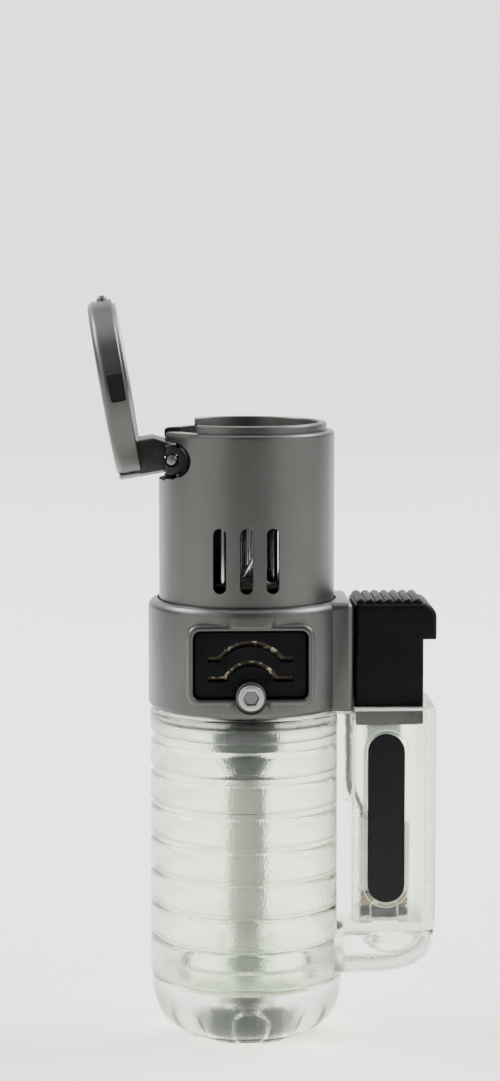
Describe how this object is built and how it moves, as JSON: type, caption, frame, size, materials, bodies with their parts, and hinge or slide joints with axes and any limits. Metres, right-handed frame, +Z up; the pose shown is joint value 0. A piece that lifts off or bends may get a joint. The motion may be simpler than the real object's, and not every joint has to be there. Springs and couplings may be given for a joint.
{
  "type": "jet torch lighter",
  "caption": "Refillable jet torch lighter with a flip lid, a slotted wind guard, a clear ribbed fuel tank, a piezo thumb trigger and a flame adjuster in its base.",
  "frame": {"origin": "on the base plane, under the middle of the bounding box with the lid open", "axes": "+Z up along the tank's axis, +X towards the trigger and its housing, -Y towards the window and label side"},
  "size_m": [0.053, 0.0316, 0.1148],
  "materials": {
    "clear_body": "clear moulded acrylic with a faint warm tint",
    "satin_gunmetal": "satin gunmetal plating",
    "dark_gunmetal": "dark satin gunmetal",
    "black_plastic": "fine matte black",
    "grey_plastic": "matte dark grey",
    "warm_grey_plastic": "matte warm grey",
    "black_rubber": "matte rubber",
    "lead_insulation": "matte black sleeve",
    "steel": "bright steel",
    "chrome": "polished chrome",
    "brass": "turned brass",
    "copper": "warm copper",
    "label_black": "plain satin black label"
  },
  "bodies": {
    "casing": {"fuel_tank": "clear_body", "housing_foot": "clear_body", "base_cup": "clear_body", "collar": "satin_gunmetal", "wind_guard": "satin_gunmetal", "hinge_bracket": "dark_gunmetal", "window_plate": "black_plastic", "chassis": "black_plastic", "piezo_base": "black_plastic", "outlet_valve_body": "grey_plastic", "locating_pin_left": "grey_plastic", "locating_pin_right": "grey_plastic", "gas_column": "warm_grey_plastic", "piezo_case": "warm_grey_plastic", "regulator_o_ring": "black_rubber", "regulator_seal": "black_rubber", "gas_hose": "black_rubber", "ignition_lead": "lead_insulation", "refill_valve_spring": "steel", "outlet_valve_spring": "steel", "lever_pin": "steel", "hex_screw": "steel", "hinge_pin": "steel", "lid_spring": "steel", "electrode": "steel", "piezo_spring": "steel", "burner_tube_1": "chrome", "burner_tube_2": "chrome", "burner_tube_3": "chrome", "burner_block": "brass", "burner_nozzle_1": "brass", "burner_nozzle_2": "brass", "burner_nozzle_3": "brass", "regulator_stem": "brass", "refill_valve_body": "brass", "window_backing": "brass", "piezo_contact": "copper", "label_plate": "label_black"},
    "lid": {"lid": "satin_gunmetal", "lid_liner": "steel", "hinge_arm": "dark_gunmetal"},
    "trigger": {"trigger": "black_plastic", "piezo_plunger": "grey_plastic"},
    "lever": {"valve_lever": "steel"},
    "outlet_stem": {"outlet_valve_stem": "brass"},
    "adjuster": {"flame_adjuster": "grey_plastic"},
    "refill_stem": {"refill_valve_stem": "steel"}
  },
  "joints": [
    {"name": "lid_hinge", "type": "hinge", "parent": "casing", "child": "lid", "pos_m": [-0.01405, 0.00055, 0.09], "axis": [0, 1, 0], "range_deg": [0, 100]},
    {"name": "trigger_press", "type": "slide", "parent": "casing", "child": "trigger", "axis": [0, 0, -1], "range_m": [0, 0.005], "stiffness_N_per_m": 900, "springref_m": -0.003, "deforming": ["piezo_spring"]},
    {"name": "lever_tilt", "type": "hinge", "parent": "casing", "child": "lever", "pos_m": [0.00655, 0.00055, 0.0564], "axis": [0, 1, 0], "range_deg": [0, 5.2]},
    {"name": "outlet_valve_lift", "type": "slide", "parent": "casing", "child": "outlet_stem", "axis": [0, 0, 1], "range_m": [0, 0.0009], "deforming": ["outlet_valve_spring", "gas_hose"]},
    {"name": "adjuster_turn", "type": "hinge", "parent": "casing", "child": "adjuster", "pos_m": [-0.00245, 0.00055, 0.003], "axis": [0, 0, 1], "range_deg": [-120, 120]},
    {"name": "refill_press", "type": "slide", "parent": "casing", "child": "refill_stem", "axis": [0, 0, 1], "range_m": [0, 0.0012], "stiffness_N_per_m": 400, "springref_m": -0.001, "deforming": ["refill_valve_spring"]}
  ],
  "couplings": [
    {"joint": "lever_tilt", "follows": "trigger_press", "rad_per_m": 17.8},
    {"joint": "outlet_valve_lift", "follows": "trigger_press", "ratio": 0.16}
  ]
}
